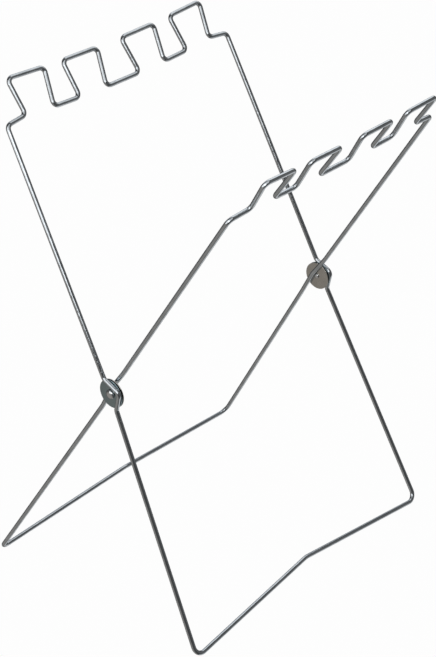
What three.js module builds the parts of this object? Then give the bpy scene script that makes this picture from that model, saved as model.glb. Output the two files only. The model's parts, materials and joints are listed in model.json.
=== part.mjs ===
// Photo album stand: two bent-wire frames crossed in an X and riveted together at two
// disc hinges. Millimetres, +Z up, origin on the floor under the middle of the stand.
// X runs along the hinge axis; the outer frame's feet are at -Y and its notched bar at +Y.
import * as THREE from 'three';

// Wire and its bends
const WIRE_D = 4.6;
const WIRE_SIDES = 8;
const BAR_BEND_R = 5.5;
const FOOT_BEND_R = 9.5;
const FOOT_BAR_BEND_R = 25;
const SHOULDER_BEND_R = 6;
const HINGE_BEND_R = 6;
const BEND_STEP_DEG = 20;

// Stance: the frames cross here. Each is bent slightly at the crossing, and the inner
// frame has the longer legs, so it leans further.
const DEG = Math.PI / 180;
const CROSSING_Z = 262;
const OUTER_LEAN = { leg: 24.9 * DEG, upper: 26.3 * DEG };
const INNER_LEAN = { leg: 33.4 * DEG, upper: 34.4 * DEG };

// Outer frame: half widths, and distances along the frame from the crossing
const FOOT_HALF_W = 181.2;
const HINGE_HALF_W = 163;
const SHOULDER_HALF_W = 157;
const FOOT_BAR_RISE = 20.2;
const SHOULDER_OUTER_S = 277.1;
const SHOULDER_INNER_S = 279.8;
const SEAT_S = 274.3;
const CREST_S = 314.1;
const BAR_BOW = 4.7;
const BUMPS = [
  { crest: [136.1, 88.6], base: [130.9, 95.2] },
  { crest: [64.7, 16.8], base: [60.3, 23.9] },
];

// Inner frame: narrower at the hinge and the bar, a little wider at the feet
const HINGE_GAP = 8.2;
const INNER_FOOT_HALF_W = 184.9;
const INNER_SHOULDER_HALF_W = 147.5;
const INNER_BAR_SCALE = 0.914;

// Hinge
const PIVOT_DROP = 5.6;
const DISC_D = 31;
const DISC_T = 0.9;
const RIVET_D = 4;
const HEAD_D = 10.4;
const HEAD_H = 3.6;
const TAIL_D = 4.8;
const TAIL_H = 1.6;
const HOLE_D = 4.8;
const WASHER_D = 14;
const FIT_GAP = 0.2;
const OUTER_DETOUR = 14;
const OUTER_DETOUR_REACH = 17;
const INNER_DETOUR = 2;
const INNER_DETOUR_REACH = 30;
const ROUND_SIDES = 32;

const WIRE_R = WIRE_D / 2;
const OUTER_DISC_X = HINGE_HALF_W - WIRE_R - FIT_GAP;
const INNER_DISC_X = HINGE_HALF_W - HINGE_GAP + WIRE_R + FIT_GAP;

const chrome = (shade) => new THREE.MeshStandardMaterial({ color: shade, roughness: 0.15, metalness: 1 });
const zinc = (shade) => new THREE.MeshStandardMaterial({ color: shade, roughness: 0.35, metalness: 1 });

// A frame's own directions: up along its legs, and square to its sheet.
// lean is signed: positive leans the top towards +Y.
function along(lean) {
  return new THREE.Vector3(0, Math.sin(lean), Math.cos(lean));
}
function outOf(lean) {
  return new THREE.Vector3(0, -Math.cos(Math.abs(lean)) * Math.sign(lean), Math.sin(Math.abs(lean)));
}

// A corner of the bent wire: x across, s along the frame from the crossing, out of its sheet
function corner(frame, x, s, radius, out = 0) {
  const lean = frame.side * (s < 0 ? frame.lean.leg : frame.lean.upper);
  const point = along(lean).multiplyScalar(s).addScaledVector(outOf(lean), out);
  point.x = x;
  point.z += CROSSING_Z;
  return { point, radius };
}

// The notched bar and the shoulder beside it, for the half with x > 0, from the leg inwards
function notchedHalf(frame) {
  const wide = BUMPS[0].crest[0];
  const bowed = (x, s) => s + BAR_BOW * (x / wide) ** 2;
  const bend = (x, s) => corner(frame, x * frame.barScale, bowed(x, s), BAR_BEND_R);
  const half = [
    corner(frame, frame.shoulderX, SHOULDER_OUTER_S, SHOULDER_BEND_R),
    corner(frame, BUMPS[0].base[0] * frame.barScale, SHOULDER_INNER_S, BAR_BEND_R),
  ];
  BUMPS.forEach(({ crest, base }, i) => {
    if (i > 0) half.push(bend(base[0], SEAT_S));
    half.push(bend(crest[0], CREST_S), bend(crest[1], CREST_S), bend(base[1], SEAT_S));
  });
  return half;
}

// Where the legs reach the floor, along the frame
function footS(frame) {
  return -CROSSING_Z / Math.cos(frame.lean.leg);
}

// The leg of that half, from the foot up to the hinge: it bends round the rivet and back
function legHalf(frame) {
  const pivotS = -PIVOT_DROP * Math.cos(frame.lean.leg);
  const bend = (s, out) => corner(frame, frame.hingeX, s, HINGE_BEND_R, out);
  return [
    corner(frame, frame.footX, footS(frame), FOOT_BEND_R),
    bend(pivotS - frame.reach, 0),
    bend(pivotS, frame.detour),
    bend(pivotS + frame.reach, 0),
  ];
}

// All corners of a frame in order round the loop
function frameCorners(frame) {
  const half = [...legHalf(frame), ...notchedHalf(frame)];
  const mirrored = half.map(({ point, radius }) => (
    { point: point.clone().setX(-point.x), radius })).reverse();
  const middle = corner(frame, 0, footS(frame) + FOOT_BAR_RISE, FOOT_BAR_BEND_R);
  return [...half, ...mirrored, middle];
}

// Stations along the loop: each corner becomes an arc tangent to its two straight runs
function bendStations(corners) {
  const stations = [];
  corners.forEach(({ point, radius }, i) => {
    const before = corners.at(i - 1).point;
    const after = corners[(i + 1) % corners.length].point;
    const into = point.clone().sub(before).normalize();
    const away = after.clone().sub(point).normalize();
    const turn = into.angleTo(away);
    const steps = Math.max(2, Math.ceil(turn / (BEND_STEP_DEG * DEG)));
    const inward = away.clone().sub(into).normalize();
    const centre = point.clone().addScaledVector(inward, radius / Math.cos(turn / 2));
    const axis = into.clone().cross(away).normalize();
    const spoke = point.clone().addScaledVector(into, -radius * Math.tan(turn / 2)).sub(centre);
    for (let k = 0; k <= steps; k += 1) {
      const angle = turn * k / steps;
      stations.push({
        point: spoke.clone().applyAxisAngle(axis, angle).add(centre),
        tangent: into.clone().applyAxisAngle(axis, angle),
      });
    }
  });
  return stations;
}

// The wire's centre line as a closed three.js curve, sampled at its own stations
class WireLoop extends THREE.Curve {
  constructor(stations, sheetNormal) {
    super();
    this.stations = stations;
    this.sheetNormal = sheetNormal;
  }

  station(u) {
    return this.stations[Math.round(u * this.stations.length) % this.stations.length];
  }

  getPointAt(u) {
    return this.station(u).point.clone();
  }

  // Half a side's turn from the sheet's normal, so that flats face along and across the sheet
  computeFrenetFrames(segments) {
    const frames = { tangents: [], normals: [], binormals: [] };
    for (let i = 0; i <= segments; i += 1) {
      const { tangent } = this.station(i / segments);
      const across = this.sheetNormal.clone().projectOnPlane(tangent).normalize();
      const normal = across.applyAxisAngle(tangent, Math.PI / WIRE_SIDES);
      frames.tangents.push(tangent);
      frames.normals.push(normal);
      frames.binormals.push(tangent.clone().cross(normal));
    }
    return frames;
  }
}

// One closed wire frame: the eight-sided section is drawn round the true wire
function wireFrame(name, frame, shade) {
  const stations = bendStations(frameCorners(frame));
  const meanLean = frame.side * (frame.lean.leg + frame.lean.upper) / 2;
  const loop = new WireLoop(stations, outOf(meanLean));
  const sectionR = WIRE_R / Math.cos(Math.PI / WIRE_SIDES);
  const geometry = new THREE.TubeGeometry(loop, stations.length, sectionR, WIRE_SIDES, true);
  const mesh = new THREE.Mesh(geometry, chrome(shade));
  mesh.name = name;
  return mesh;
}

// Turned pieces are lathed about Y and laid along X. profile is [radius, distance along X].
function turned(name, profile, material) {
  const points = profile.map(([r, x]) => new THREE.Vector2(r, x));
  const mesh = new THREE.Mesh(new THREE.LatheGeometry(points, ROUND_SIDES), material);
  mesh.geometry.rotateZ(-Math.PI / 2);
  mesh.name = name;
  return mesh;
}

// A flat ring from x0 to x1 with a round hole
function ring(name, outerD, holeD, x0, x1, material) {
  const [outer, hole] = [outerD / 2, holeD / 2];
  return turned(name, [[hole, x0], [outer, x0], [outer, x1], [hole, x1], [hole, x0]], material);
}

// A domed end: points from the rim to the axis, rising by height
function dome(rimR, height, x, outward) {
  const steps = 5;
  return Array.from({ length: steps }, (_, k) => {
    const angle = (Math.PI / 2) * (k + 1) / steps;
    return [k + 1 === steps ? 0 : rimR * Math.cos(angle), x + outward * height * Math.sin(angle)];
  });
}

// Headed rivet: round head outside the outer disc, small clenched tail inside the inner disc
function rivet(name) {
  const headX = OUTER_DISC_X + FIT_GAP;
  const tailX = INNER_DISC_X - FIT_GAP;
  const [shankR, headR, tailR] = [RIVET_D / 2, HEAD_D / 2, TAIL_D / 2 + FIT_GAP];
  const flat = 0.6;
  const profile = [
    ...dome(tailR, TAIL_H - flat, tailX - flat, -1).reverse(),
    [tailR, tailX - flat],
    [tailR, tailX],
    [shankR, tailX],
    [shankR, headX],
    [headR, headX],
    [headR, headX + flat],
    ...dome(headR, HEAD_H - flat, headX + flat, 1),
  ];
  return turned(name, profile, zinc(0xd8dadb));
}

// One hinge, built for the side with x > 0 and turned round for the other side
function hinge(side) {
  const group = new THREE.Group();
  const gapLow = INNER_DISC_X + DISC_T;
  const gapHigh = OUTER_DISC_X - DISC_T;
  group.add(
    ring(`${side}_outer_disc`, DISC_D, HOLE_D, gapHigh, OUTER_DISC_X, zinc(0x8f9698)),
    ring(`${side}_inner_disc`, DISC_D, HOLE_D, INNER_DISC_X, gapLow, zinc(0x8f9698)),
    ring(`${side}_spacer_washer`, WASHER_D, HOLE_D, gapLow + FIT_GAP, gapHigh - FIT_GAP, zinc(0x6f7577)),
    rivet(`${side}_rivet`),
  );
  group.position.z = CROSSING_Z - PIVOT_DROP;
  if (side === 'left') group.rotation.z = Math.PI;
  return group;
}

const outer = {
  side: 1,
  lean: OUTER_LEAN,
  footX: FOOT_HALF_W,
  hingeX: HINGE_HALF_W,
  shoulderX: SHOULDER_HALF_W,
  barScale: 1,
  detour: OUTER_DETOUR,
  reach: OUTER_DETOUR_REACH,
};
const inner = {
  side: -1,
  lean: INNER_LEAN,
  footX: INNER_FOOT_HALF_W,
  hingeX: HINGE_HALF_W - HINGE_GAP,
  shoulderX: INNER_SHOULDER_HALF_W,
  barScale: INNER_BAR_SCALE,
  detour: INNER_DETOUR,
  reach: INNER_DETOUR_REACH,
};

const stand = new THREE.Group();
stand.add(
  wireFrame('outer_frame_wire', outer, 0xc9cccd),
  wireFrame('inner_frame_wire', inner, 0xc2c2be),
  hinge('left'),
  hinge('right'),
);

// Stand it on its feet, with the origin under the middle of its depth
const box = new THREE.Box3().setFromObject(stand);
stand.position.set(0, -(box.min.y + box.max.y) / 2, -box.min.z);

export default stand;
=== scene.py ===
import json
import math

import bmesh
import bpy
from mathutils import Matrix, Vector


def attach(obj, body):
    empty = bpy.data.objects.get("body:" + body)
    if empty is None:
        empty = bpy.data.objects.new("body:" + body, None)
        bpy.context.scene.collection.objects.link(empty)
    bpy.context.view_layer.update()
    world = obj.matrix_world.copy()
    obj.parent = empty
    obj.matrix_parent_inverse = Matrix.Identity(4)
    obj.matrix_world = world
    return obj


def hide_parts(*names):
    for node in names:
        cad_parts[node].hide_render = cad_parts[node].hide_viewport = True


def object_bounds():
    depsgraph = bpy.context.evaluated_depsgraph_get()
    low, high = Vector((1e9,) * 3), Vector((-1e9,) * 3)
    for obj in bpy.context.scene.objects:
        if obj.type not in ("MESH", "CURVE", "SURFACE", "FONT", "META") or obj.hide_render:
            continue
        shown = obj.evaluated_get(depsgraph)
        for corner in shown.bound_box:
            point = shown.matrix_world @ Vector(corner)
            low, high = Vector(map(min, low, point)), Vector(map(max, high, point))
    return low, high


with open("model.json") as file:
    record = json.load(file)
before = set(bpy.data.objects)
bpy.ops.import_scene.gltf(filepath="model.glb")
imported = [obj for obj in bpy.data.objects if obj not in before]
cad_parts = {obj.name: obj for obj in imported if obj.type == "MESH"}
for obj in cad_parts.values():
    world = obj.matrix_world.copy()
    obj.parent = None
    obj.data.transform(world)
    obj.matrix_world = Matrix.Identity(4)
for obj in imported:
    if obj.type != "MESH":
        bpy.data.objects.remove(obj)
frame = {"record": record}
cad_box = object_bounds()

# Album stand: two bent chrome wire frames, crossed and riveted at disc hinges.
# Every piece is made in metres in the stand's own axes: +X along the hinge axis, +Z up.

# ---------------------------------------------------------------------------
# The two wire frames. Each is one length of drawn mild-steel wire, straightened
# and bent into a loop: a foot bar, two legs, two shoulders and a bar with three
# notches for the album to hang in. It is butt welded on the foot bar, then plated.
# ---------------------------------------------------------------------------
MM = 0.001
WIRE_R = 2.4 * MM               # between the flats and the corners of the CAD's eight-sided wire
CROSSING_HEIGHT = 262 * MM      # from the feet's sharp corners to where the two frames cross
PIVOT_DROP = 5.6 * MM           # the rivets sit this far below the crossing
FOOT_BAR_RISE = 20.2 * MM
SHOULDER_OUTER = 277.1 * MM     # this and the next three are measured up the frame
SHOULDER_INNER = 279.8 * MM     # from the crossing, to the wire's centre line
SEAT = 274.3 * MM
CREST = 314.1 * MM
BAR_BOW = 4.7 * MM              # the bar's ends curve up by this much
BUMPS = (                       # from the shoulder to the middle: outer and inner x of each bump
    {"crest": (136.1 * MM, 88.6 * MM), "base": (130.9 * MM, 95.2 * MM)},
    {"crest": (64.7 * MM, 16.8 * MM), "base": (60.3 * MM, 23.9 * MM)},
)
FOOT_BEND = 9.5 * MM
KINK_BEND = 25 * MM
SHOULDER_BEND = 6 * MM
HINGE_BEND = 6 * MM
BAR_BEND = 5.5 * MM
BEND_STEPS = 16
SECTION_SIDES = 32
WELD_X = 62 * MM
WELD_GAP = 0.4 * MM

# foot, hinge and shoulder are half widths. The leg swings out by detour to pass the rivet,
# over a stretch of reach each way, and its arc there passes apex_cut inside its corner.
OUTER = {"body": "outer_frame", "side": 1, "foot": 181.2 * MM, "hinge": 163.0 * MM,
         "shoulder": 157.0 * MM, "bar_scale": 1.0,
         "detour": 14 * MM, "reach": 17 * MM, "apex_cut": 1.7 * MM,
         "leg_lean": math.radians(24.9), "upper_lean": math.radians(26.3)}
INNER = {"body": "inner_frame", "side": -1, "foot": 184.9 * MM, "hinge": 154.8 * MM,
         "shoulder": 147.5 * MM, "bar_scale": 0.914,
         "detour": 2 * MM, "reach": 30 * MM, "apex_cut": 0.0,
         "leg_lean": math.radians(33.4), "upper_lean": math.radians(34.4)}

CHROME_BRIGHT = "#DCE2E7"
CHROME_DULL = "#A6ACB0"
CHROME_ROUGHNESS = (0.06, 0.15)
DULL_PATCH = 14 * MM
DRAW_LINE_WIDTH = 0.5 * MM      # truly about 0.05 mm, drawn coarser so that it shows
DRAW_LINE_LENGTH = 20 * MM
DRAW_LINE_RELIEF = (0.2, 0.05 * MM)     # strength and depth
RIPPLE_WIDTH = 2.4 * MM
RIPPLE_LENGTH = 6 * MM
RIPPLE_RELIEF = (0.6, 0.24 * MM)
NOISE_RANGE = (0.3, 0.7)        # nearly all of a noise pattern lies between these

pivot = Vector(frame["record"]["behaviour"]["joints"][0]["pos_m"])
crossing = pivot + Vector((0, 0, PIVOT_DROP))


def linear(hex_colour):
    """An sRGB hex colour as linear RGBA."""
    channels = [int(hex_colour[i:i + 2], 16) / 255 for i in (1, 3, 5)]
    return [c / 12.92 if c < 0.04045 else ((c + 0.055) / 1.055) ** 2.4 for c in channels] + [1.0]


def add_node(tree, kind, settings=(), links=()):
    """Adds a node with its settings and its input values or links, and returns it."""
    node = tree.nodes.new(kind)
    for name, value in dict(settings).items():
        setattr(node, name, value)
    for name, value in dict(links).items():
        socket = node.inputs[name]
        if isinstance(value, bpy.types.NodeSocket):
            tree.links.new(value, socket)
        else:
            socket.default_value = value
    return node


def new_metal(name):
    """A material with a metallic shader: returns the material, its tree and its shader."""
    material = bpy.data.materials.new(name)
    material.use_nodes = True
    shader = material.node_tree.nodes["Principled BSDF"]
    shader.inputs["Metallic"].default_value = 1.0
    return material, material.node_tree, shader


def scaled_noise(tree, coordinates, sizes, detail):
    """Noise whose features measure sizes (x, y, z) in metres along the coordinates."""
    scaled = add_node(tree, "ShaderNodeVectorMath", {"operation": "MULTIPLY"}, {
        0: coordinates, 1: [1 / size for size in sizes]})
    return add_node(tree, "ShaderNodeTexNoise", (), {
        "Vector": scaled.outputs["Vector"], "Scale": 1.0, "Detail": detail}).outputs["Fac"]


def tint_between(tree, shader, factor, first, second):
    """Colours the shader between two hex colours by a pattern."""
    mix = add_node(tree, "ShaderNodeMix", {"data_type": "RGBA"}, {"Factor": factor})
    for socket in mix.inputs:
        if socket.type == "RGBA":
            socket.default_value = linear(first if socket.name == "A" else second)
    mixed = [socket for socket in mix.outputs if socket.type == "RGBA"][0]
    tree.links.new(mixed, shader.inputs["Base Color"])


def roughen(tree, shader, factor, smoothest, roughest):
    """Varies the shader's roughness by a pattern."""
    rough = add_node(tree, "ShaderNodeMapRange", (), {
        "Value": factor, "From Min": NOISE_RANGE[0], "From Max": NOISE_RANGE[1],
        "To Min": smoothest, "To Max": roughest})
    tree.links.new(rough.outputs["Result"], shader.inputs["Roughness"])


def emboss(tree, shader, layers):
    """Bumps the surface with layers of (height pattern, strength, depth in metres)."""
    normal = None
    for height, strength, depth in layers:
        bump = add_node(tree, "ShaderNodeBump", (), {
            "Height": height, "Strength": strength, "Distance": depth})
        if normal is not None:
            tree.links.new(normal, bump.inputs["Normal"])
        normal = bump.outputs["Normal"]
    tree.links.new(normal, shader.inputs["Normal"])


def sheet_point(design, across, up, out=0.0):
    """A point of a frame: x across, up the frame from the crossing, out square to it."""
    lean = design["leg_lean"] if up < 0 else design["upper_lean"]
    y = design["side"] * (up * math.sin(lean) - out * math.cos(lean))
    z = up * math.cos(lean) + out * math.sin(lean)
    return crossing + Vector((across, y, z))


def foot_height(design):
    """Where the legs reach the floor, measured along the frame."""
    return -CROSSING_HEIGHT / math.cos(design["leg_lean"])


def pivot_height(design):
    """Where a leg passes its rivet, measured along the frame."""
    return -PIVOT_DROP * math.cos(design["leg_lean"])


def leg_corners(design):
    """The x > 0 leg from its foot to above the hinge, as (point, bend radius) pairs."""
    middle = pivot_height(design)
    corners = [(sheet_point(design, design["foot"], foot_height(design)), FOOT_BEND)]
    for step, out in ((-1, 0), (0, design["detour"]), (1, 0)):
        up = middle + step * design["reach"]
        corners.append((sheet_point(design, design["hinge"], up, out), HINGE_BEND))
    return corners


def bar_corner(design, across, up):
    """A corner of the notched bar, lifted by the bar's bow."""
    lift = BAR_BOW * (across / BUMPS[0]["crest"][0]) ** 2
    return sheet_point(design, across * design["bar_scale"], up + lift), BAR_BEND


def bar_corners(design):
    """The x > 0 half of the notched bar, from the shoulder to the middle notch."""
    first_base = BUMPS[0]["base"][0] * design["bar_scale"]
    corners = [
        (sheet_point(design, design["shoulder"], SHOULDER_OUTER), SHOULDER_BEND),
        (sheet_point(design, first_base, SHOULDER_INNER), BAR_BEND),
    ]
    for i, bump in enumerate(BUMPS):
        if i > 0:
            corners.append(bar_corner(design, bump["base"][0], SEAT))
        corners += [bar_corner(design, across, CREST) for across in bump["crest"]]
        corners.append(bar_corner(design, bump["base"][1], SEAT))
    return corners


def foot_bar_point(design, across):
    """A point on the foot bar's centre line, which rises to the kink in its middle."""
    rise = FOOT_BAR_RISE * (1 - abs(across) / design["foot"])
    return sheet_point(design, across, foot_height(design) + rise)


def frame_corners(design):
    """All corners round the loop, which starts and ends at the butt weld."""
    half = leg_corners(design) + bar_corners(design)
    mirrored = [(Vector((-p.x, p.y, p.z)), radius) for p, radius in reversed(half)]
    kink = (foot_bar_point(design, 0.0), KINK_BEND)
    first = (foot_bar_point(design, WELD_X + WELD_GAP), 0.0)
    last = (foot_bar_point(design, WELD_X - WELD_GAP), 0.0)
    return [first] + half + mirrored + [kink, last]


def new_tree(name, inputs):
    """An empty Geometry Nodes tree: returns it and its named inputs' sockets."""
    tree = bpy.data.node_groups.new(name, "GeometryNodeTree")
    tree.interface.new_socket("Geometry", in_out="OUTPUT", socket_type="NodeSocketGeometry")
    for label, kind in (("Geometry", "NodeSocketGeometry"), *inputs):
        tree.interface.new_socket(label, in_out="INPUT", socket_type=kind)
    return tree, add_node(tree, "NodeGroupInput").outputs


def finish_tree(tree, geometry, material):
    """Ends a tree: smooth shading, real geometry and its material."""
    smooth = add_node(tree, "GeometryNodeSetShadeSmooth", (), {"Geometry": geometry})
    real = add_node(tree, "GeometryNodeRealizeInstances", (), {
        "Geometry": smooth.outputs["Geometry"]})
    painted = add_node(tree, "GeometryNodeSetMaterial", (), {
        "Geometry": real.outputs["Geometry"], "Material": material})
    add_node(tree, "NodeGroupOutput", (), {"Geometry": painted.outputs["Geometry"]})


def run_tree(tree, source, name, values):
    """Runs a tree on a source object and returns the result as a plain mesh object."""
    modifier = source.modifiers.new(tree.name, "NODES")
    modifier.node_group = tree
    for item in tree.interface.items_tree:
        if item.item_type == "SOCKET" and item.in_out == "INPUT" and item.name in values:
            modifier[item.identifier] = values[item.name]
    evaluated = source.evaluated_get(bpy.context.evaluated_depsgraph_get())
    mesh = bpy.data.meshes.new_from_object(evaluated)
    bpy.data.objects.remove(source)
    mesh.name = name
    return new_piece(name, mesh)


def new_piece(name, data):
    """An object holding the given mesh or curve, linked to the scene."""
    piece = bpy.data.objects.new(name, data)
    bpy.context.collection.objects.link(piece)
    return piece


# Nickel-chrome over drawn wire: a bright cool mirror, broken up by the straightener's slow
# ripple and by faint lines along the wire, with a few duller patches. The pattern follows
# the wire as it was before bending: round its section and along it.
chrome_wire, tree, shader = new_metal("nickel_chrome_plated_drawn_wire")
ring = add_node(tree, "ShaderNodeAttribute", {"attribute_name": "ring"})
along = add_node(tree, "ShaderNodeAttribute", {"attribute_name": "along"})
section = add_node(tree, "ShaderNodeSeparateXYZ", (), {"Vector": ring.outputs["Vector"]})
straight = add_node(tree, "ShaderNodeCombineXYZ", (), {
    "X": section.outputs["X"], "Y": section.outputs["Y"], "Z": along.outputs["Fac"]})
straight = straight.outputs["Vector"]
lines = scaled_noise(tree, straight, (DRAW_LINE_WIDTH, DRAW_LINE_WIDTH, DRAW_LINE_LENGTH), detail=2.0)
ripple = scaled_noise(tree, straight, (RIPPLE_WIDTH, RIPPLE_WIDTH, RIPPLE_LENGTH), detail=1.0)
patches = scaled_noise(tree, straight, (DULL_PATCH,) * 3, detail=3.0)
tint_between(tree, shader, patches, CHROME_BRIGHT, CHROME_DULL)
roughen(tree, shader, lines, *CHROME_ROUGHNESS)
emboss(tree, shader, ((ripple, *RIPPLE_RELIEF), (lines, *DRAW_LINE_RELIEF)))

# Rounds the corners of a path, sweeps the round wire along it, and keeps where each point
# lies along and around the straight wire.
wire_tree, given = new_tree("bent_wire", (
    ("Wire radius", "NodeSocketFloat"), ("Bend steps", "NodeSocketInt"),
    ("Section sides", "NodeSocketInt"), ("Material", "NodeSocketMaterial")))
bend_radius = add_node(wire_tree, "GeometryNodeInputRadius")
rounded = add_node(wire_tree, "GeometryNodeFilletCurve", {"mode": "POLY"}, {
    "Curve": given["Geometry"], "Radius": bend_radius.outputs[0], "Count": given["Bend steps"]})
even = add_node(wire_tree, "GeometryNodeSetCurveRadius", (), {
    "Curve": rounded.outputs["Curve"], "Radius": 1.0})
run = add_node(wire_tree, "GeometryNodeSplineParameter")
path = add_node(wire_tree, "GeometryNodeStoreNamedAttribute", {"data_type": "FLOAT"}, {
    "Geometry": even.outputs["Curve"], "Name": "along", "Value": run.outputs["Length"]})
circle = add_node(wire_tree, "GeometryNodeCurvePrimitiveCircle", (), {
    "Resolution": given["Section sides"], "Radius": given["Wire radius"]})
place = add_node(wire_tree, "GeometryNodeInputPosition")
profile = add_node(wire_tree, "GeometryNodeStoreNamedAttribute", {"data_type": "FLOAT_VECTOR"}, {
    "Geometry": circle.outputs["Curve"], "Name": "ring", "Value": place.outputs["Position"]})
swept = add_node(wire_tree, "GeometryNodeCurveToMesh", (), {
    "Curve": path.outputs["Geometry"], "Profile Curve": profile.outputs["Geometry"]})
finish_tree(wire_tree, swept.outputs["Mesh"], given["Material"])

for design in (OUTER, INNER):
    curve = bpy.data.curves.new(design["body"] + "_path", "CURVE")
    curve.dimensions = "3D"
    spline = curve.splines.new("POLY")
    corners = frame_corners(design)
    spline.points.add(len(corners) - 1)
    for bend, (point, radius) in zip(spline.points, corners):
        bend.co = (*point, 1.0)
        bend.radius = radius
    spline.use_cyclic_u = True
    wire = run_tree(wire_tree, new_piece(curve.name, curve), design["body"] + "_bent_wire", {
        "Wire radius": WIRE_R, "Bend steps": BEND_STEPS, "Section sides": SECTION_SIDES,
        "Material": chrome_wire})
    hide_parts(design["body"] + "_wire")
    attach(wire, design["body"])

# ---------------------------------------------------------------------------
# Hinge discs. Blanked from 0.9 mm sheet steel, so their rims are rolled over,
# then barrel polished, welded to a leg of each frame and plated with it.
# ---------------------------------------------------------------------------
DISC_R = 15.5 * MM
HOLE_R = 2.4 * MM
DISC_THICK = 0.9 * MM
DISC_GAP = 0.1 * MM             # the weld's gap between a disc and its wire
RIM_ROLL = 0.32 * MM
HOLE_CHAMFER = 0.1 * MM
RIM_STEPS = 6
TURN_STEPS = 96
SHARP_ANGLE = math.radians(40)
ON_AXIS = 1e-7                 # a smaller radius counts as a point on the hinge axis
# The disc tints hold painted reflection: darker and cooler on the outer discs, warmer on the inner
# ones.
OUTER_DISC_PAINTED_REFLECTION_TINTS = ("#A4B5BA", "#8B9CA1")
INNER_DISC_PAINTED_REFLECTION_TINTS = ("#CFCDC8", "#B5B3AE")
DISC_ROUGHNESS = (0.14, 0.24)
HAZE_GRAIN = 0.35 * MM         # truly under 0.1 mm, drawn coarser so that it shows
HAZE_RELIEF = (0.15, 0.03 * MM)
CLOUD_SIZE = 9 * MM
CLOUD_RELIEF = (0.4, 0.15 * MM)
HINGES = (("left", -1), ("right", 1))

OUTER_FACE = OUTER["hinge"] - WIRE_R - DISC_GAP     # the outer disc's face under the wire
INNER_FACE = INNER["hinge"] + WIRE_R + DISC_GAP     # the inner disc's face over the wire


def hazed_metal(name, tints, roughness):
    """Barrel-finished metal: a fine even haze over a slow cloud of tone."""
    material, tree, shader = new_metal(name)
    place = add_node(tree, "ShaderNodeTexCoord").outputs["Object"]
    haze = scaled_noise(tree, place, (HAZE_GRAIN,) * 3, detail=4.0)
    cloud = scaled_noise(tree, place, (CLOUD_SIZE,) * 3, detail=2.0)
    tint_between(tree, shader, cloud, *tints)
    roughen(tree, shader, haze, *roughness)
    emboss(tree, shader, ((haze, *HAZE_RELIEF), (cloud, *CLOUD_RELIEF)))
    return material


def rounded_rim(radius, x0, x1, roll):
    """Profile points (radius, x) over the rim of a disc from x0 to x1."""
    points = []
    for centre_x, start in ((x0 + roll, math.pi), (x1 - roll, math.pi / 2)):
        for step in range(RIM_STEPS + 1):
            angle = start - math.pi / 2 * step / RIM_STEPS
            points.append((radius - roll + roll * math.sin(angle), centre_x + roll * math.cos(angle)))
    return points


def holed_disc(radius, hole, x0, x1, roll):
    """Profile of a flat ring: round the rim, then down the hole."""
    return rounded_rim(radius, x0, x1, roll) + [
        (hole + HOLE_CHAMFER, x1), (hole, x1 - HOLE_CHAMFER),
        (hole, x0 + HOLE_CHAMFER), (hole + HOLE_CHAMFER, x0)]


def turned_piece(name, profile, side, material):
    """A piece turned about the hinge axis; side is 1 at the right hinge and -1 at the left."""
    turn = [2 * math.pi * k / TURN_STEPS for k in range(TURN_STEPS)]
    shape = bmesh.new()
    rings = []
    for radius, x in profile:
        if radius < ON_AXIS:
            rings.append([shape.verts.new(pivot + Vector((side * x, 0, 0)))] * TURN_STEPS)
        else:
            rings.append([shape.verts.new(pivot + Vector(
                (side * x, radius * math.cos(a), radius * math.sin(a)))) for a in turn])
    ends_on_axis = profile[0][0] < ON_AXIS
    pairs = list(zip(rings, rings[1:])) + ([] if ends_on_axis else [(rings[-1], rings[0])])
    for low, high in pairs:
        for k in range(TURN_STEPS):
            corners = [low[k], low[k - 1], high[k - 1], high[k]]
            shape.faces.new(list(dict.fromkeys(corners)))
    bmesh.ops.recalc_face_normals(shape, faces=shape.faces)
    for face in shape.faces:
        face.smooth = True
    mesh = bpy.data.meshes.new(name)
    shape.to_mesh(mesh)
    shape.free()
    mesh.set_sharp_from_angle(angle=SHARP_ANGLE)
    mesh.materials.append(material)
    return new_piece(name, mesh)


# Chrome over a barrel-polished blank: a greyer, hazier mirror than the wire's. The outer discs are
# tinted darker and cooler and the inner ones warmer. This is painted reflection of the dark grey and
# the warm surroundings each disc mirrors, on one and the same plating.
outer_disc_painted_dark_reflection_chrome = hazed_metal("barrel_polished_chrome_painted_cool_reflection", OUTER_DISC_PAINTED_REFLECTION_TINTS, DISC_ROUGHNESS)
inner_disc_painted_warm_reflection_chrome = hazed_metal("barrel_polished_chrome_painted_warm_reflection", INNER_DISC_PAINTED_REFLECTION_TINTS, DISC_ROUGHNESS)

for hinge, side in HINGES:
    for layer, body, x0, material in (
            ("outer", "outer_frame", OUTER_FACE - DISC_THICK, outer_disc_painted_dark_reflection_chrome),
            ("inner", "inner_frame", INNER_FACE, inner_disc_painted_warm_reflection_chrome)):
        disc = turned_piece(f"{hinge}_{layer}_hinge_disc", holed_disc(
            DISC_R, HOLE_R, x0, x0 + DISC_THICK, RIM_ROLL), side, material)
        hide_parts(f"{hinge}_{layer}_disc")
        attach(disc, body)

# ---------------------------------------------------------------------------
# Spacer washers. A plain zinc-plated washer sits loose on each rivet and keeps
# the two discs of a hinge from rubbing.
# ---------------------------------------------------------------------------
WASHER_R = 7 * MM
WASHER_PLAY = 0.2 * MM
WASHER_ROLL = 0.15 * MM
ZINC_TINTS = ("#8A9196", "#6C7276")
ZINC_ROUGHNESS = (0.3, 0.45)

# Barrel-plated zinc: bluish, satin where the chrome is a mirror, and a little blotchy.
zinc_plate = hazed_metal("bright_zinc_plated_steel", ZINC_TINTS, ZINC_ROUGHNESS)

for hinge, side in HINGES:
    washer = turned_piece(f"{hinge}_hinge_washer", holed_disc(
        WASHER_R, HOLE_R, INNER_FACE + DISC_THICK + WASHER_PLAY,
        OUTER_FACE - DISC_THICK - WASHER_PLAY, WASHER_ROLL), side, zinc_plate)
    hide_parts(f"{hinge}_spacer_washer")
    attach(washer, "inner_frame")

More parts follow.
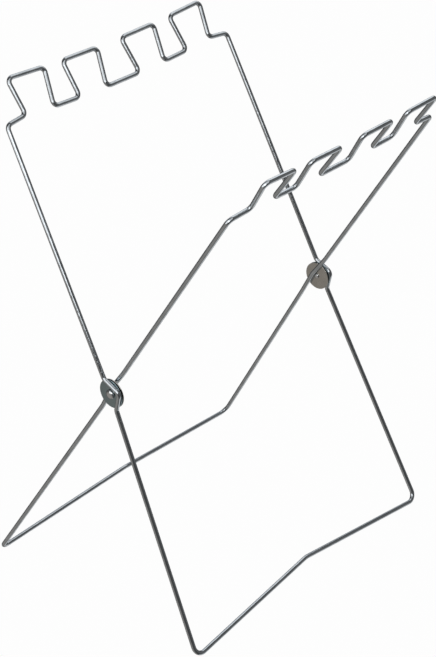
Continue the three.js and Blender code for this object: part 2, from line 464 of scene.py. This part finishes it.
# ---------------------------------------------------------------------------
# Rivets. Cold-headed steel rivets, bright plated, one through each pair of
# discs: a low round head outside and a small spun tail inside.
# ---------------------------------------------------------------------------
SHANK_R = 2.0 * MM
HEAD_R = 5.2 * MM
HEAD_HIGH = 3.6 * MM
TAIL_R = 2.6 * MM
TAIL_HIGH = 1.6 * MM
RIVET_LAND = 0.6 * MM           # the upright edge under a dome
RIVET_GAP = 0.2 * MM
DOME_STEPS = 14
RIVET_TINTS = ("#E6E8EA", "#CFD2D4")
RIVET_ROUGHNESS = (0.06, 0.12)


def dome(radius, high, base, outward):
    """Profile points of a domed end, from its foot at base over to the axis."""
    points = [(radius, base)]
    for step in range(DOME_STEPS + 1):
        angle = math.pi / 2 * step / DOME_STEPS
        reach = RIVET_LAND + (high - RIVET_LAND) * math.sin(angle)
        points.append((0.0 if step == DOME_STEPS else radius * math.cos(angle),
                       base + outward * reach))
    return points


# Heading leaves the dome smooth, so its plating is the brightest mirror on the hinge.
rivet_chrome = hazed_metal("bright_plated_headed_rivet", RIVET_TINTS, RIVET_ROUGHNESS)

for hinge, side in HINGES:
    tail = dome(TAIL_R, TAIL_HIGH, INNER_FACE - RIVET_GAP, -1)
    head = dome(HEAD_R, HEAD_HIGH, OUTER_FACE + RIVET_GAP, 1)
    shank = [(SHANK_R, INNER_FACE - RIVET_GAP), (SHANK_R, OUTER_FACE + RIVET_GAP)]
    rivet = turned_piece(f"{hinge}_hinge_rivet", tail[::-1] + shank + head, side, rivet_chrome)
    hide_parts(f"{hinge}_rivet")
    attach(rivet, "outer_frame")

# ---------------------------------------------------------------------------
# Weld nuggets. Each leg is resistance welded to its disc in three spots, which
# squeeze out as flat beads where wire and disc meet, and are plated over.
# ---------------------------------------------------------------------------
NUGGET_R = 1.15 * MM
NUGGET_SQUASH = 0.42
NUGGET_SPACING = 6 * MM
NUGGET_LIFT = 0.1 * MM          # off the disc's face, into the gap to the wire
NUGGET_DETAIL = 3
NUGGET_TINTS = ("#C4C7C8", "#989B9C")
NUGGET_ROUGHNESS = (0.16, 0.3)

# Plated weld metal: duller than the wire, because the bead under it is coarse.
nugget_metal = hazed_metal("plated_weld_bead", NUGGET_TINTS, NUGGET_ROUGHNESS)

# Puts a squashed bead on every point of a mesh.
nugget_tree, given = new_tree("weld_nuggets", (
    ("Bead radius", "NodeSocketFloat"), ("Squash", "NodeSocketFloat"),
    ("Material", "NodeSocketMaterial")))
bead = add_node(nugget_tree, "GeometryNodeMeshIcoSphere", (), {
    "Radius": given["Bead radius"], "Subdivisions": NUGGET_DETAIL})
flat = add_node(nugget_tree, "ShaderNodeCombineXYZ", (), {
    "X": given["Squash"], "Y": 1.0, "Z": 1.0})
centres = add_node(nugget_tree, "GeometryNodeMeshToPoints", (), {"Mesh": given["Geometry"]})
beads = add_node(nugget_tree, "GeometryNodeInstanceOnPoints", (), {
    "Points": centres.outputs["Points"], "Instance": bead.outputs["Mesh"],
    "Scale": flat.outputs["Vector"]})
finish_tree(nugget_tree, beads.outputs["Instances"], given["Material"])

for design, face, outward in ((OUTER, OUTER_FACE, 1), (INNER, INNER_FACE, -1)):
    spots = []
    for side in (1, -1):
        for step in (-1, 0, 1):
            up = pivot_height(design) + step * NUGGET_SPACING
            out = design["detour"] * (1 - abs(step) * NUGGET_SPACING / design["reach"])
            if step == 0:
                out -= design["apex_cut"]
            spots.append(sheet_point(design, side * (face + outward * NUGGET_LIFT), up, out))
    mesh = bpy.data.meshes.new(design["body"] + "_weld_spots")
    mesh.from_pydata(spots, [], [])
    nuggets = run_tree(nugget_tree, new_piece(mesh.name, mesh), design["body"] + "_weld_nuggets", {
        "Bead radius": NUGGET_R, "Squash": NUGGET_SQUASH, "Material": nugget_metal})
    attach(nuggets, design["body"])

# ---------------------------------------------------------------------------
# Studio. A plain pale floor runs out into a pale backdrop, and the chrome mirrors
# neither. It mirrors a dark room with soft glows from its floor and walls, and
# four softboxes close by: one overhead, one in front and two to the left.
# ---------------------------------------------------------------------------
CAMERA_AT = Vector((-1.2175, -1.1587, 1.2193))
CAMERA_TURN = math.radians(46.247)
CAMERA_TILT = math.radians(29.644)
CAMERA_ROLL = math.radians(-2.408)
LENS = 101.67                   # this and the sensor's width are in millimetres
SENSOR = 36
FLOOR_HALF = 8.0
BACKDROP = 0.985                # brightness of the floor and of the backdrop behind it
WHITE = linear("#FFFFFF")

camera_data = bpy.data.cameras.new("camera")
camera_data.lens = LENS
camera_data.sensor_width = SENSOR
camera = new_piece("camera", camera_data)
camera.matrix_world = (
    Matrix.Translation(CAMERA_AT)
    @ Matrix.Rotation(-CAMERA_TURN, 4, "Z")
    @ Matrix.Rotation(math.pi / 2 - CAMERA_TILT, 4, "X")
    @ Matrix.Rotation(CAMERA_ROLL, 4, "Z"))
bpy.context.scene.camera = camera
bpy.context.scene.view_settings.view_transform = "Standard"

floor_mesh = bpy.data.meshes.new("floor")
floor_mesh.from_pydata([(x, y, cad_box[0][2]) for x, y in (
    (-FLOOR_HALF, -FLOOR_HALF), (FLOOR_HALF, -FLOOR_HALF),
    (FLOOR_HALF, FLOOR_HALF), (-FLOOR_HALF, FLOOR_HALF))], [], [(0, 1, 2, 3)])
floor = new_piece("floor", floor_mesh)
floor.visible_glossy = False

# The floor glows evenly, so it takes no shadows and meets the backdrop without a line. It is
# hidden from the chrome, because it would turn the underside of every wire white.
floor_paint = bpy.data.materials.new("pale_studio_floor")
floor_paint.use_nodes = True
tree = floor_paint.node_tree
glow = add_node(tree, "ShaderNodeEmission", (), {"Color": WHITE, "Strength": BACKDROP})
tree.links.new(glow.outputs[0], tree.nodes["Material Output"].inputs["Surface"])
floor_mesh.materials.append(floor_paint)

# Glows in the room, in degrees: azimuth from +Y towards +X, elevation, and the angles from its
# middle at which a glow starts to fade and is gone, then its colour and strength.
ROOM_LEVEL = 0.08
ROOM = (
    (125, 5, 10, 50, "#FFFFFF", 0.08),      # right wall
    (115, -58, 8, 42, "#FFFFFF", 0.7),      # floor on the right
    (290, -35, 15, 65, "#FFF6EC", 0.26),    # floor on the left
    (38, 30, 8, 42, "#F4F8FF", 0.5),        # back wall
)
world = bpy.data.worlds.new("studio")
bpy.context.scene.world = world
world.use_nodes = True
tree = world.node_tree
toward = add_node(tree, "ShaderNodeTexCoord").outputs["Generated"]
room = add_node(tree, "ShaderNodeBackground", (), {
    "Color": WHITE, "Strength": ROOM_LEVEL}).outputs[0]
for azimuth, elevation, fade_from, fade_to, tint, strength in ROOM:
    azimuth, elevation = math.radians(azimuth), math.radians(elevation)
    centre = (math.sin(azimuth) * math.cos(elevation),
              math.cos(azimuth) * math.cos(elevation), math.sin(elevation))
    nearness = add_node(tree, "ShaderNodeVectorMath", {"operation": "DOT_PRODUCT"}, {
        0: toward, 1: centre})
    soft = add_node(tree, "ShaderNodeMapRange", {"interpolation_type": "SMOOTHSTEP"}, {
        "Value": nearness.outputs["Value"], "From Min": math.cos(math.radians(fade_to)),
        "From Max": math.cos(math.radians(fade_from)), "To Max": strength})
    light = add_node(tree, "ShaderNodeBackground", (), {
        "Color": linear(tint), "Strength": soft.outputs["Result"]})
    room = add_node(tree, "ShaderNodeAddShader", (), {0: room, 1: light.outputs[0]}).outputs[0]
backdrop = add_node(tree, "ShaderNodeBackground", (), {"Color": WHITE, "Strength": BACKDROP})
seen = add_node(tree, "ShaderNodeLightPath")
surroundings = add_node(tree, "ShaderNodeMixShader", (), {
    "Fac": seen.outputs["Is Camera Ray"], 1: room, 2: backdrop.outputs[0]})
tree.links.new(surroundings.outputs[0], tree.nodes["World Output"].inputs["Surface"])

# Softboxes: (name, place, width, brightness of its face). Each faces the stand's middle.
SOFTBOX_AIM = Vector((0, 0, 0.35))
SOFTBOXES = (
    ("overhead_softbox", (0.45, 0.15, 1.05), 0.8, 0.8),
    ("front_softbox", (-0.35, -0.5, 1.15), 1.0, 0.7),
    ("left_softbox", (-0.68, -0.55, 0.72), 0.4, 2.0),
    ("side_softbox", (-0.95, 0.0, 0.85), 1.0, 1.2),
)
for name, at, width, brightness in SOFTBOXES:
    lamp = bpy.data.lights.new(name, "AREA")
    lamp.size = width
    lamp.energy = brightness * math.pi * width ** 2
    softbox = new_piece(name, lamp)
    facing = (SOFTBOX_AIM - Vector(at)).to_track_quat("-Z", "Y")
    softbox.matrix_world = Matrix.Translation(at) @ facing.to_matrix().to_4x4()
    softbox.visible_camera = False
